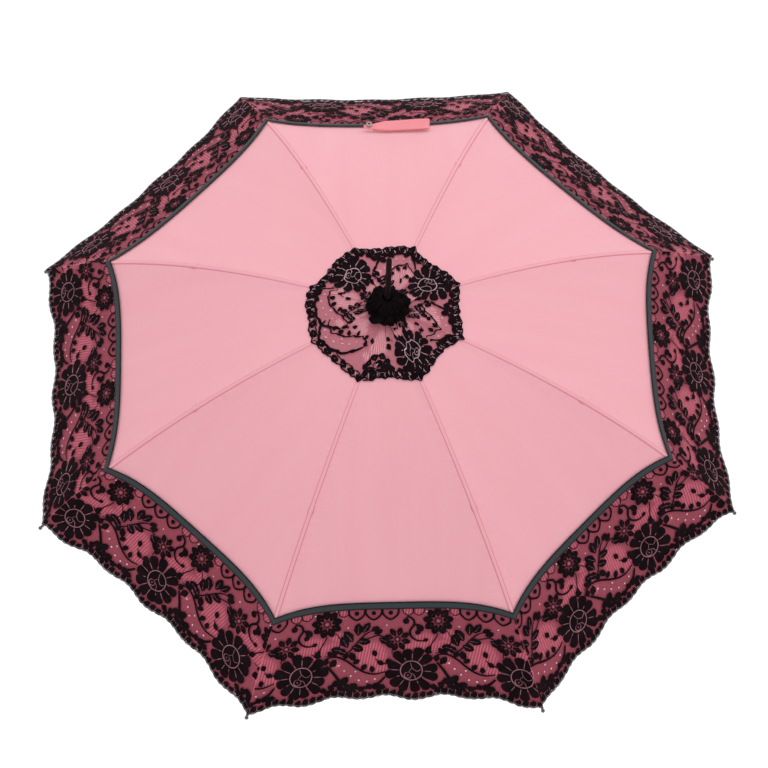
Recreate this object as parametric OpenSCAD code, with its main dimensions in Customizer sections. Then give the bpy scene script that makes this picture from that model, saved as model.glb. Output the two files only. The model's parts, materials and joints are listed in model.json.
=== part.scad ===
// Lace parasol: stick umbrella with eight curved ribs, open.
// Origin at the centre of the grip, +Z up along the shaft, crook towards +X.
// Ribs stand at 22.5 degrees and every 45 degrees after it; gores lie between them.

/* [Canopy] */
// Radius of the arc that each open rib follows
rib_curve_r = 711; // [640:1:900]
// Slope below the horizontal where the rib leaves the crown, in degrees
rib_start_slope = 4.7; // [2:0.1:8]
// Length of a rib along its arc, crown pivot to tip
rib_len = 545; // [500:1:700]
// Arc length from the crown pivot to the lace corner at the tip
fabric_len = 532; // [480:1:690]
// Arc length from the crown pivot to the stretcher joint
joint_at = 260; // [200:1:320]
// Arc length from the crown pivot to the ribbon over the seam
ribbon_at = 405; // [330:1:460]
// Arc length from the crown pivot to the lace cap's corners
cap_len = 90; // [60:1:120]
// How far the hem bows inward at the middle of a gore
hem_bow = 16; // [6:1:30]
// How far the lace cap's edge bows inward at the middle of a gore
cap_bow = 3; // [2:0.5:12]
// Thickness of the canopy fabric with its lace
fabric_t = 0.8; // [0.4:0.1:1.2]
// Gap between the rib's back and the fabric
fabric_gap = 1.2; // [0.8:0.1:2]
// Gap between neighbouring gores along a rib, each side
gore_gap = 0.4; // [0.2:0.1:0.8]

/* [Rib channel] */
// Width of the rib channel
rib_w = 3.5; // [3:0.1:5]
// Depth of the rib channel
rib_d = 3.2; // [2.6:0.1:4]
// Wall of the rib channel
rib_wall = 0.5; // [0.4:0.05:0.8]
// Diameter of the rivet at the stretcher joint
rivet_d = 1.2; // [1:0.1:1.6]
// Width of the tongues that turn on the wires
tongue_w = 1.6; // [1.2:0.1:2]
// Diameter of the metal tip
tip_d = 4.4; // [3.6:0.1:6]
// Diameter of the ball at the end of the tip
tip_ball_d = 5; // [4:0.1:7]
// Length of the metal tip
tip_len = 16; // [12:1:22]

/* [Stretchers] */
// Width and depth of the stretcher channel
stretcher_w = 3; // [2.6:0.1:4]
// Thickness of each fork cheek
fork_t = 0.7; // [0.5:0.1:1]
// Length of the fork's slot
fork_len = 20; // [18:1:30]

/* [Shaft] */
// Outer diameter of the steel shaft
shaft_d = 10; // [8:0.5:14]
// Wall of the shaft
shaft_wall = 0.6; // [0.5:0.1:1]
// Radius from the shaft's axis to the rib and stretcher pivots
pivot_r = 12; // [11:0.5:16]
// Diameter of the ring wires that the ribs and stretchers turn on
wire_d = 1.2; // [1:0.1:1.6]
// Outer diameter of the runner's sleeve and of the crown's tube
sleeve_d = 15; // [14:0.5:17]
// Length of the runner below its pivots
runner_drop = 45; // [38:1:60]
// Lean of the folded ribs from the shaft, in degrees
folded_lean = 3.2; // [2.5:0.1:5]
// Clearance between the folded rib tips and the handle's collar
folded_gap = 22; // [16:1:40]

/* [Ferrule] */
// Diameter of the ferrule's bar
ferrule_d = 7; // [6:0.5:9]
// Height of the ferrule above the crown pivots
ferrule_len = 135; // [90:1:160]
// Diameter of the gathered rosette at the apex
rosette_d = 62; // [50:1:80]
// Height of the rosette
rosette_h = 24; // [14:1:30]

/* [Handle] */
// Diameter of the handle
handle_d = 16; // [14:0.5:22]
// Length of the straight grip above the origin
grip_up = 62; // [50:1:80]
// Length of the straight grip below the origin
grip_down = 45; // [30:1:60]
// Radius of the crook's centre line
crook_r = 34; // [28:1:44]
// Length of the crook's short end
crook_end = 26; // [15:1:40]
// Height of the collar on top of the grip
collar_h = 10; // [6:1:16]
// Wall of the collar outside the handle
collar_wall = 0.8; // [0.5:0.1:1.5]

/* [Tie strap] */
// Length of the strap as it lies folded
strap_len = 88; // [60:1:110]
// Width of the strap
strap_w = 16; // [10:1:20]
// Thickness of the folded strap
strap_t = 2; // [1.5:0.1:3]
// Diameter of the snap ring
snap_d = 8; // [7:0.5:14]

/* [Hidden] */
COUNT = 8;

$fn = 48;
step = 360 / COUNT;
half = step / 2;
eps = 0.01;

// Fits: running clearance on a radius, gap between faces that move, and how far a cut runs past a face
run_fit = 0.05;
face_gap = 0.3;
over = 1;

pin_r = rivet_d / 2;
wire_r = wire_d / 2;
shaft_r = shaft_d / 2;
sleeve_r = sleeve_d / 2;
eye_r = wire_r + 0.8;
rib_up = rib_d / 2;
rib_half = rib_w / 2;
rib_inside = rib_half - rib_wall;
joint_eye_r = rib_up - 0.1;

// Tongues on the ring wires: how far each runs from its wire, and where its thicker neck lies
tongue_end = 5;
tongue_d = 1.6 * eye_r;
neck_from = 4;
neck_to = 9;

// Inner rib: where its channel starts, where it stops short of the joint, and its cheeks' length
channel_from = 6;
channel_short = 2.2;
cheek_len = 6;
rivet_head_h = 0.5;

// Outer rib: its tongue, the block that fills the channel behind it, and the plug that holds the tip
joint_tongue_w = 2 * (rib_inside - face_gap);
joint_tongue_end = 4;
joint_block_from = 2.6;
joint_block_to = 8;
outer_channel_from = 5;
plug_len = 4;
tenon_r = 1;
tenon_root = 1;
tenon_len = 8;
tenon_hole = 8.4;

// Stretcher fork: it straddles the rib, and the rivet runs through both
fork_half = rib_half + face_gap + fork_t;
fork_web = 5;
rivet_w = 2 * (fork_half + 0.1);

// Heights along the shaft, all from the grip's centre
collar_top = grip_up + collar_h;
crown_z = collar_top + folded_gap + rib_len;
flange_roof = eye_r + face_gap + 0.6;
flange_floor = eye_r + 1;
flange_r = pivot_r + eye_r + 0.8;
crown_low = 12;
crown_pin_rise = 4;
shaft_low = 10;
shaft_top = crown_z + 20;

// The open rib: slope, radius and height at arc length s
function slope(s) = rib_start_slope + s / rib_curve_r * 180 / PI;
function arc_r(s) = pivot_r + rib_curve_r * (sin(slope(s)) - sin(rib_start_slope));
function arc_z(s) = crown_z - rib_curve_r * (cos(rib_start_slope) - cos(slope(s)));

// The stretcher is as long as the rib's chord, so that the runner moves straight along the shaft
joint_r = arc_r(joint_at);
joint_z = arc_z(joint_at);
chord = sqrt(pow(joint_r - pivot_r, 2) + pow(crown_z - joint_z, 2));
chord_slope = atan2(crown_z - joint_z, joint_r - pivot_r);
runner_z = crown_z - 2 * chord * sin(chord_slope);
folded_runner_z = crown_z - 2 * chord * cos(folded_lean);
runner_rise = 6;
runner_flare = 2;
runner_flare_h = 3;
runner_taper_h = 5;

// Pins through the shaft: the runner's stop and the one that fixes the crown
stop_r = 1;
stop_proud = 2;
stop_z = runner_z + runner_rise + stop_r + face_gap;
crown_pin_z = crown_z - crown_low + crown_pin_rise;

// Spring catches: the top one carries the open runner, the bottom one holds it folded
catch_len = 15;
catch_w = 1.6;
catch_out = 2.2;
catch_pin_r = 0.7;
catch_eye_r = 1.9;
catch_offset = 1.5;
catch_flat = 3;
catch_nose = shaft_r + catch_out;
catch_pin_half = sqrt(shaft_r * shaft_r - pow(catch_offset + catch_pin_r, 2));
top_catch_z = runner_z - runner_drop - face_gap - catch_len;
window_low = 27;
window_high = 13;
bottom_catch_z = folded_runner_z - window_low + face_gap + catch_len;

// A catch seen from the side, X out of the shaft and Z up from its pin: its blade and the slot in it
catch_blade = [[0.5, 0.5], [3.2, 0], [catch_nose, catch_len - catch_flat], [catch_nose, catch_len],
               [catch_offset, catch_len]];
catch_slot = [[2.1, 3.9], [4.5, catch_len - 3.1], [2.1, catch_len - 3.1]];

// Fabric stack above the rib's centre line
fabric_low = rib_up + fabric_gap;
fabric_high = fabric_low + fabric_t;
cap_low = fabric_high + 0.4;
cap_high = cap_low + 0.4;
gore_start = -3;
gore_steps = 14;
washer_low = crown_z + fabric_high + 0.4;
washer_h = 1.2;
washer_r = 11;
rosette_low = washer_low + washer_h + 0.2;
sleeve_top = 22;
sleeve_wall = 1.2;
ferrule_sleeve_r = shaft_r + sleeve_wall;
taper_h = 12;
taper_step = 0.3;
shaft_end_gap = 0.5;
cap_start = rib_len - tip_len;

// Half of the rosette's section, from its bore out over the washer to its rim and back up the ferrule
rosette_r = rosette_d / 2;
rosette_bore = ferrule_sleeve_r + 0.1;
rosette_section = [[rosette_bore, 0], [washer_r + 1, 0], [rosette_r - 4, -1.5], [rosette_r, 1],
                   [rosette_r - 1, 5], [rosette_r - 8, 0.75 * rosette_h],
                   [ferrule_sleeve_r + 4, rosette_h], [rosette_bore, rosette_h]];

// Tie strap: the gore it lies on, its place along and across that gore, and how far its outer edge tilts up
strap_gore = 2;
strap_at = ribbon_at - 35;
strap_shift = -24;
strap_tilt = 28;
strap_lift = cap_low + 0.5 * strap_w * sin(strap_tilt);
snap_h = 1.4;

crook_cap_h = 6;

function gore_point(s, off) = [(arc_r(s) + off * sin(slope(s))) * cos(half), arc_z(s) + off * cos(slope(s))];
function along(a, b, n) = [for (k = [0:n]) a + (b - a) * k / n];

// Helpers

module at_rib(i) rotate([0, 0, half + step * (i - 1)]) children();
module at_gore(i) rotate([0, 0, step * i]) children();

// Places children at arc length s, X along the rib and Z out of the canopy
module at_arc(s) translate([arc_r(s), 0, arc_z(s)]) rotate([0, slope(s), 0]) children();

// Sweeps a 2D profile (x out of the canopy, y sideways) along the rib's arc
module rib_sweep(from_s, to_s)
    translate([pivot_r - rib_curve_r * sin(rib_start_slope), 0, crown_z - rib_curve_r * cos(rib_start_slope)])
        rotate([90, 0, 0]) rotate([0, 0, 90 - slope(to_s)])
            rotate_extrude(angle = slope(to_s) - slope(from_s))
                translate([rib_curve_r, 0]) children();

module channel_profile(w, d, wall)
    difference() {
        translate([-d / 2, -w / 2]) square([d, w]);
        translate([-d / 2 - over, -w / 2 + wall]) square([d - wall + over, w - 2 * wall]);
    }

// A round bar of radius r and length w, centred across the rib
module cross_bar(r, w) rotate([90, 0, 0]) cylinder(r = r, h = w, center = true);

// A block from x0 to x1, w wide and d deep, centred on the centre line
module link_block(x0, x1, w, d) translate([x0, -w / 2, -d / 2]) cube([x1 - x0, w, d]);

// A tongue that turns on a ring wire, joined to a solid neck
module wire_tongue(neck_w, neck_d) {
    difference() {
        union() {
            cross_bar(eye_r, tongue_w);
            link_block(0, tongue_end, tongue_w, tongue_d);
        }
        cross_bar(wire_r + run_fit, tongue_w + over);
    }
    link_block(neck_from, neck_to, neck_w, neck_d);
}

// A slotted flange on the shaft for eight tongues; the slots open along +Z
module slotted_flange() {
    slot_w = tongue_w + 2 * face_gap;
    slot_r = pivot_r - eye_r - face_gap;
    difference() {
        translate([0, 0, -flange_roof]) cylinder(r = flange_r, h = flange_roof + flange_floor);
        for (i = [1:COUNT]) at_rib(i)
            translate([slot_r, -slot_w / 2, -eye_r - face_gap])
                cube([flange_r, slot_w, flange_floor + eye_r + face_gap + over]);
        rotate_extrude() {
            translate([pivot_r, 0]) circle(r = wire_r + run_fit / 2);
            translate([pivot_r, -wire_r - run_fit / 2]) square([flange_r, wire_d + run_fit]);
        }
    }
}

module wire_ring() rotate_extrude() translate([pivot_r, 0]) circle(r = wire_r);

module gore_wedge(gap) {
    reach = 2 * rib_len;
    start = gap / sin(half);
    linear_extrude(height = 3 * crown_z, center = true)
        polygon([[start, 0], [start + reach, reach * tan(half)], [start + reach, -reach * tan(half)]]);
}

// Cuts the outer edge to a shallow arc between two corners on the ribs at radius r
module bowed_edge(r, bow) {
    half_chord = r * sin(half);
    edge_r = (half_chord * half_chord + bow * bow) / (2 * bow);
    translate([r * cos(half) - bow + edge_r, 0, crown_z - rib_len])
        cylinder(r = edge_r, h = 2 * rib_len, $fn = 256);
}

// Fabric between two ribs, from arc length a to b, between two offsets above the rib's centre line
module gore_shape(a, b, low, high, gap) {
    points = concat(
        [for (s = along(a, b, gore_steps)) gore_point(s, low)],
        [for (s = along(b, a, gore_steps)) gore_point(s, high)]);
    intersection() {
        rotate([90, 0, 0]) linear_extrude(height = 2 * rib_len, center = true) polygon(points);
        gore_wedge(gap);
    }
}

// A spring catch: pin eye at the origin, flat shoulder at the top, nose out along +X
module catch_shape() {
    difference() {
        rotate([90, 0, 0]) linear_extrude(height = catch_w, center = true) difference() {
            union() {
                translate([catch_offset, 0]) circle(r = catch_eye_r);
                polygon(catch_blade);
            }
            polygon(catch_slot);
        }
        translate([catch_offset, 0, 0]) cross_bar(catch_pin_r + run_fit, catch_w + over);
    }
}

// The shaft's window for a catch, and the holes for its pin
module catch_window() {
    window_w = catch_w + 2 * face_gap;
    translate([catch_offset, -window_w / 2, 0]) cube([shaft_d, window_w, catch_len + face_gap]);
    translate([catch_offset, 0, 0]) cross_bar(catch_pin_r, shaft_d + over);
}

// Shaft, crown and ferrule

module shaft_tube()
    color("silver")
        difference() {
            translate([0, 0, shaft_low]) cylinder(r = shaft_r, h = shaft_top - shaft_low);
            translate([0, 0, shaft_low - over])
                cylinder(r = shaft_r - shaft_wall, h = shaft_top - shaft_low + 2 * over);
            translate([0, 0, top_catch_z]) catch_window();
            translate([0, 0, bottom_catch_z]) mirror([0, 0, 1]) catch_window();
            translate([0, 0, stop_z]) cross_bar(stop_r, shaft_d + over);
            translate([0, 0, crown_pin_z]) cross_bar(stop_r, shaft_d + over);
        }

module stop_pin()
    color("silver")
        translate([0, 0, stop_z]) cross_bar(stop_r - run_fit / 2, shaft_d + 2 * stop_proud);

module crown()
    color("dimgray")
        difference() {
            union() {
                translate([0, 0, crown_z]) mirror([0, 0, 1]) slotted_flange();
                translate([0, 0, crown_z - crown_low]) cylinder(r = sleeve_r, h = crown_low);
            }
            translate([0, 0, crown_z - crown_low - over])
                cylinder(r = shaft_r + run_fit, h = crown_low + flange_roof + 2 * over);
            translate([0, 0, crown_pin_z]) cross_bar(stop_r, sleeve_d + over);
        }

module crown_wire() color("silver") translate([0, 0, crown_z]) wire_ring();

module crown_pin()
    color("silver")
        translate([0, 0, crown_pin_z]) cross_bar(stop_r - run_fit / 2, sleeve_d);

module catch_pins()
    color("silver")
        for (z = [top_catch_z, bottom_catch_z])
            translate([catch_offset, 0, z]) cross_bar(catch_pin_r - run_fit / 2, 2 * catch_pin_half);

module top_catch() color("silver") translate([0, 0, top_catch_z]) catch_shape();

module bottom_catch()
    color("silver") translate([0, 0, bottom_catch_z]) mirror([0, 0, 1]) catch_shape();

module canopy_washer()
    color("dimgray")
        translate([0, 0, washer_low]) difference() {
            cylinder(r = washer_r, h = washer_h);
            translate([0, 0, -over]) cylinder(r = shaft_r + run_fit, h = washer_h + 2 * over);
        }

module ferrule()
    color([0.12, 0.12, 0.13])
        difference() {
            union() {
                translate([0, 0, rosette_low])
                    cylinder(r = ferrule_sleeve_r, h = crown_z + sleeve_top - rosette_low);
                translate([0, 0, crown_z + sleeve_top])
                    cylinder(r1 = ferrule_sleeve_r, r2 = ferrule_d / 2 + taper_step, h = taper_h);
                translate([0, 0, crown_z + sleeve_top])
                    cylinder(r = ferrule_d / 2, h = ferrule_len - sleeve_top - ferrule_d / 2);
                translate([0, 0, crown_z + ferrule_len - ferrule_d / 2]) sphere(r = ferrule_d / 2);
            }
            translate([0, 0, rosette_low - over])
                cylinder(r = shaft_r + run_fit, h = shaft_top - rosette_low + over + shaft_end_gap);
        }

module rosette()
    color([0.08, 0.08, 0.09])
        translate([0, 0, rosette_low]) rotate_extrude() polygon(rosette_section);

// Fabric

module lace_cap()
    color([0.1, 0.1, 0.11])
        for (i = [1:COUNT]) at_gore(i)
            difference() {
                gore_shape(2, cap_len, cap_low, cap_high, -eps);
                bowed_edge(arc_r(cap_len), cap_bow);
            }

module gore_inner(i)
    color("pink")
        at_gore(i) gore_shape(gore_start, joint_at - gore_gap, fabric_low, fabric_high, gore_gap);

module gore_outer(i)
    color([0.25, 0.2, 0.22])
        at_gore(i)
            difference() {
                gore_shape(joint_at + gore_gap, fabric_len, fabric_low, fabric_high, gore_gap);
                bowed_edge(arc_r(fabric_len), hem_bow);
            }

// Places children on the middle of the strap's gore, X down the gore, Y along the ribbon
module on_strap_gore()
    at_gore(strap_gore)
        translate([gore_point(strap_at, strap_lift)[0], strap_shift, gore_point(strap_at, strap_lift)[1]])
            rotate([0, slope(strap_at) - strap_tilt, 0]) children();

module strap()
    color([0.93, 0.6, 0.62])
        on_strap_gore() difference() {
            union() {
                translate([-strap_w / 2, -strap_len / 2 + strap_w / 2, 0])
                    cube([strap_w, strap_len - strap_w, strap_t]);
                for (side = [-1, 1])
                    translate([0, side * (strap_len - strap_w) / 2, 0])
                        cylinder(r = strap_w / 2, h = strap_t);
            }
            translate([0, (strap_len - strap_w) / 2, -over]) cylinder(r = snap_d / 4, h = strap_t + 2 * over);
        }

module strap_snap()
    color("silver")
        on_strap_gore() translate([0, (strap_len - strap_w) / 2, strap_t + eps]) difference() {
            cylinder(r = snap_d / 2, h = snap_h);
            translate([0, 0, -over]) cylinder(r = snap_d / 4, h = snap_h + 2 * over);
        }

// Ribs and stretchers

// The inner rib runs from the crown to the joint and carries the rivet
module rib_inner(i)
    color([0.3, 0.3, 0.32]) at_rib(i) {
        difference() {
            union() {
                at_arc(0) wire_tongue(rib_w, rib_d);
                rib_sweep(channel_from, joint_at - channel_short) channel_profile(rib_w, rib_d, rib_wall);
                at_arc(joint_at) for (side = [-1, 1])
                    translate([0, side * (rib_half - rib_wall / 2), 0]) {
                        cross_bar(joint_eye_r, rib_wall);
                        link_block(-cheek_len, 0, rib_wall, 2 * joint_eye_r);
                    }
            }
            at_arc(joint_at) cross_bar(pin_r + run_fit, rib_w + over);
        }
        at_arc(joint_at) {
            cross_bar(pin_r, rivet_w);
            for (side = [-1, 1])
                translate([0, side * (rivet_w / 2 + 0.2), 0]) cross_bar(2 * pin_r, rivet_head_h);
        }
    }

// The outer rib runs from the joint to the tip, and its ball tip is a separate solid
module rib_outer(i)
    color([0.3, 0.3, 0.32]) at_rib(i) {
        difference() {
            union() {
                at_arc(joint_at) {
                    cross_bar(joint_eye_r, joint_tongue_w);
                    link_block(0, joint_tongue_end, joint_tongue_w, 2 * joint_eye_r);
                    link_block(joint_block_from, joint_block_to, rib_w - rib_wall, rib_d - rib_wall);
                }
                rib_sweep(joint_at + outer_channel_from, cap_start - face_gap)
                    channel_profile(rib_w, rib_d, rib_wall);
                at_arc(cap_start) {
                    link_block(-plug_len, -face_gap, rib_w - rib_wall, rib_d - rib_wall);
                    rotate([0, 90, 0]) translate([0, 0, -tenon_root])
                        cylinder(r = tenon_r, h = tenon_root + tenon_len);
                }
            }
            at_arc(joint_at) cross_bar(pin_r + run_fit, joint_tongue_w + over);
        }
        at_arc(cap_start) rotate([0, 90, 0]) tip_cap();
    }

// The metal tip, turned, with its socket at the origin and its ball along +Z
module tip_cap()
    rotate_extrude() difference() {
        intersection() {
            union() {
                polygon([[0, 0], [tip_d / 2, 0], [tip_d / 2 - 0.6, tip_len - tip_ball_d / 2],
                         [0, tip_len - tip_ball_d / 2]]);
                translate([0, tip_len - tip_ball_d / 2]) circle(r = tip_ball_d / 2);
            }
            square([tip_ball_d, tip_len]);
        }
        translate([-over, -over]) square([tenon_r + run_fit + over, tenon_hole + over]);
    }

module stretcher(i)
    color([0.35, 0.35, 0.37]) at_rib(i)
        translate([joint_r, 0, joint_z]) rotate([0, 180 - chord_slope, 0]) {
            difference() {
                union() {
                    for (side = [-1, 1])
                        translate([0, side * (fork_half - fork_t / 2), 0]) {
                            cross_bar(joint_eye_r, fork_t);
                            link_block(0, fork_len + over, fork_t, 2 * joint_eye_r);
                        }
                    link_block(fork_len, fork_len + fork_web, 2 * fork_half, stretcher_w);
                    translate([fork_len + fork_web - over, 0, 0]) rotate([0, 90, 0])
                        linear_extrude(height = chord - fork_len - fork_web - neck_to + 2 * over)
                            channel_profile(stretcher_w, stretcher_w, rib_wall);
                    translate([chord, 0, 0]) rotate([0, 180, 0]) wire_tongue(stretcher_w, stretcher_w);
                }
                cross_bar(pin_r + run_fit, 2 * fork_half + over);
            }
        }

// Runner

module runner()
    color([0.1, 0.1, 0.11])
        difference() {
            union() {
                translate([0, 0, runner_z]) slotted_flange();
                translate([0, 0, runner_z - runner_drop])
                    cylinder(r = sleeve_r, h = runner_drop + runner_rise);
                translate([0, 0, runner_z - runner_drop])
                    cylinder(r = sleeve_r + runner_flare, h = runner_flare_h);
                translate([0, 0, runner_z - runner_drop + runner_flare_h])
                    cylinder(r1 = sleeve_r + runner_flare, r2 = sleeve_r, h = runner_taper_h);
            }
            translate([0, 0, runner_z - runner_drop - over])
                cylinder(r = shaft_r + 2 * run_fit, h = runner_drop + runner_rise + 2 * over);
            translate([shaft_r - over, -catch_w / 2 - face_gap, runner_z - window_low])
                cube([sleeve_r, catch_w + 2 * face_gap, window_low - window_high]);
        }

module runner_wire() color("silver") translate([0, 0, runner_z]) wire_ring();

// Handle

module handle()
    color([0.07, 0.07, 0.08])
        difference() {
            union() {
                translate([0, 0, -grip_down]) cylinder(r = handle_d / 2, h = grip_down + grip_up);
                translate([crook_r, 0, -grip_down]) rotate([-90, 0, 0]) rotate_extrude(angle = 180)
                    translate([crook_r, 0]) circle(r = handle_d / 2);
                translate([2 * crook_r, 0, -grip_down]) cylinder(r = handle_d / 2, h = crook_end);
            }
            translate([0, 0, shaft_low - 0.5]) cylinder(r = shaft_r + run_fit, h = grip_up);
        }

module handle_collar()
    color("silver")
        translate([0, 0, grip_up]) difference() {
            cylinder(r = handle_d / 2 + collar_wall, h = collar_h);
            translate([0, 0, -over]) cylinder(r = shaft_r + run_fit, h = collar_h + 2 * over);
        }

module crook_cap()
    color("silver")
        translate([2 * crook_r, 0, crook_end - grip_down]) {
            cylinder(r = handle_d / 2 + collar_wall, h = crook_cap_h);
            translate([0, 0, crook_cap_h]) intersection() {
                cylinder(r = handle_d, h = handle_d);
                sphere(r = handle_d / 2 + collar_wall);
            }
        }

shaft_tube();
ferrule();
crown();
crown_wire();
crown_pin();
canopy_washer();
lace_cap();
rosette();
stop_pin();
top_catch();
bottom_catch();
catch_pins();
handle();
handle_collar();
crook_cap();
runner();
runner_wire();
strap();
strap_snap();
for (i = [1:COUNT]) {
    rib_inner(i);
    rib_outer(i);
    stretcher(i);
    gore_inner(i);
    gore_outer(i);
}
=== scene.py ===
# Lace parasol: pink satin canopy, black floral lace border and cap, gathered rosette, folding rib frame.
import json
import math
import random

import bpy
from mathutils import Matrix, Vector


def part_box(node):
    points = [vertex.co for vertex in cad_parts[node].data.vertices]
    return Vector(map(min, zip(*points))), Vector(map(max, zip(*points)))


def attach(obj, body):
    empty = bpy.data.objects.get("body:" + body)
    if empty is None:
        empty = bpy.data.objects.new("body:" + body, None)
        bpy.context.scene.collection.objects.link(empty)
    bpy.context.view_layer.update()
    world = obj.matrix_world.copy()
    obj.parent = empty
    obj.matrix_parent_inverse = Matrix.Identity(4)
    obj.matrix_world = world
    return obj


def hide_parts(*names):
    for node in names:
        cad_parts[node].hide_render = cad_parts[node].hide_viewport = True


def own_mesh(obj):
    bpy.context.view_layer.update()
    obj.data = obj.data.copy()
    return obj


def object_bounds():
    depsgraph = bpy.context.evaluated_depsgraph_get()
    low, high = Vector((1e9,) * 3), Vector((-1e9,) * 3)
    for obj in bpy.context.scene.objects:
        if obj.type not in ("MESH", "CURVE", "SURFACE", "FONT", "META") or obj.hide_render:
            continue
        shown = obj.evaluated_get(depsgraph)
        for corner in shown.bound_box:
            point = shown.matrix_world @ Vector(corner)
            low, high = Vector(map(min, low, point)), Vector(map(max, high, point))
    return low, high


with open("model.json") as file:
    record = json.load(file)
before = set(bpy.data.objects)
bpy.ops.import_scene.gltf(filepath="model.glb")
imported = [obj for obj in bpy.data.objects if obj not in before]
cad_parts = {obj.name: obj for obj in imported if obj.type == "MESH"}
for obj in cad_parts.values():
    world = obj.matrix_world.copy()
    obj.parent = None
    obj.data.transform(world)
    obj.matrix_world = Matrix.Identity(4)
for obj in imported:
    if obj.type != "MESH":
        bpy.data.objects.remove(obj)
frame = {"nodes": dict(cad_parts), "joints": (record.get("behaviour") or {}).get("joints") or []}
cadBox = [list(corner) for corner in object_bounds()]
bpy.ops.object.select_all(action="DESELECT")
joints = {joint["name"]: joint for joint in frame["joints"]}
mm = 0.001

# camera and stage

view = {"azimuth": -3.65, "elevation": 64.67, "distance": 3.84, "roll": 2.14, "lens": 137.1,
        "aimDown": 0.2071, "aimSide": -0.0006}


def makeCamera(capRing):
    a = math.radians(view["azimuth"])
    e = math.radians(view["elevation"])
    data = bpy.data.cameras.new("photoCamera")
    data.lens = view["lens"]
    data.sensor_width = 36
    data.clip_end = 50
    camera = bpy.data.objects.new("photoCamera", data)
    bpy.context.scene.collection.objects.link(camera)
    back = (math.sin(a) * math.cos(e), -math.cos(a) * math.cos(e), math.sin(e))
    aim = (view["aimSide"], 0, capRing - view["aimDown"])
    camera.location = [p + view["distance"] * b for p, b in zip(aim, back)]
    camera.rotation_mode = "XYZ"
    camera.rotation_euler = (math.pi / 2 - e, 0, a)
    bpy.context.view_layer.update()
    camera.rotation_euler.rotate_axis("Z", math.radians(view["roll"]))
    bpy.context.scene.camera = camera


stage = {
    "floorSize": 14,
    "floorGap": 0.004,
    "ambient": 0.82,
    "aim": (0, 0, 0.5),
    "keyPlace": (0.4, 1.9, 3.2),
    "keySize": 2.4,
    "keyPower": 31,
    "fillPlace": (1.6, -1.8, 2.6),
    "fillSize": 2.0,
    "fillPower": 3,
}


def makeArea(name, place, aim, size, power):
    data = bpy.data.lights.new(name, "AREA")
    data.size = size
    data.energy = power
    lamp = bpy.data.objects.new(name, data)
    bpy.context.scene.collection.objects.link(lamp)
    lamp.location = place
    away = [p - q for p, q in zip(place, aim)]
    flat = math.hypot(away[0], away[1])
    lamp.rotation_euler = (math.atan2(flat, away[2]), 0, math.atan2(away[0], -away[1]))


def makeStage(low):
    size = stage["floorSize"]
    bpy.ops.mesh.primitive_plane_add(size=size, location=(0, 0, low - stage["floorGap"]))
    floor = bpy.context.active_object
    floor.name = "floor"
    paint = bpy.data.materials.new("paleFloor")
    paint.use_nodes = True
    shader = paint.node_tree.nodes["Principled BSDF"]
    shader.inputs["Base Color"].default_value = (0.1, 0.1, 0.1, 1)
    shader.inputs["Roughness"].default_value = 0.95
    shader.inputs["Emission Color"].default_value = (1, 1, 1, 1)
    shader.inputs["Emission Strength"].default_value = 1.0
    floor.data.materials.append(paint)
    world = bpy.data.worlds.new("studio")
    bpy.context.scene.world = world
    world.use_nodes = True
    sky = world.node_tree.nodes["Background"]
    sky.inputs["Color"].default_value = (1, 1, 1, 1)
    sky.inputs["Strength"].default_value = stage["ambient"]
    for name in ("key", "fill"):
        makeArea(f"{name}Light", stage[f"{name}Place"], stage["aim"], stage[f"{name}Size"], stage[f"{name}Power"])
    bpy.context.scene.view_settings.view_transform = "Standard"


# materials

def newMaterial(name, colour, roughness, sheen=0.0, metallic=0.0, gloss=0.5):
    paint = bpy.data.materials.new(name)
    paint.use_nodes = True
    shader = paint.node_tree.nodes["Principled BSDF"]
    shader.inputs["Base Color"].default_value = (*colour, 1)
    shader.inputs["Roughness"].default_value = roughness
    shader.inputs["Sheen Weight"].default_value = sheen
    shader.inputs["Metallic"].default_value = metallic
    shader.inputs["Specular IOR Level"].default_value = gloss
    return paint


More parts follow.
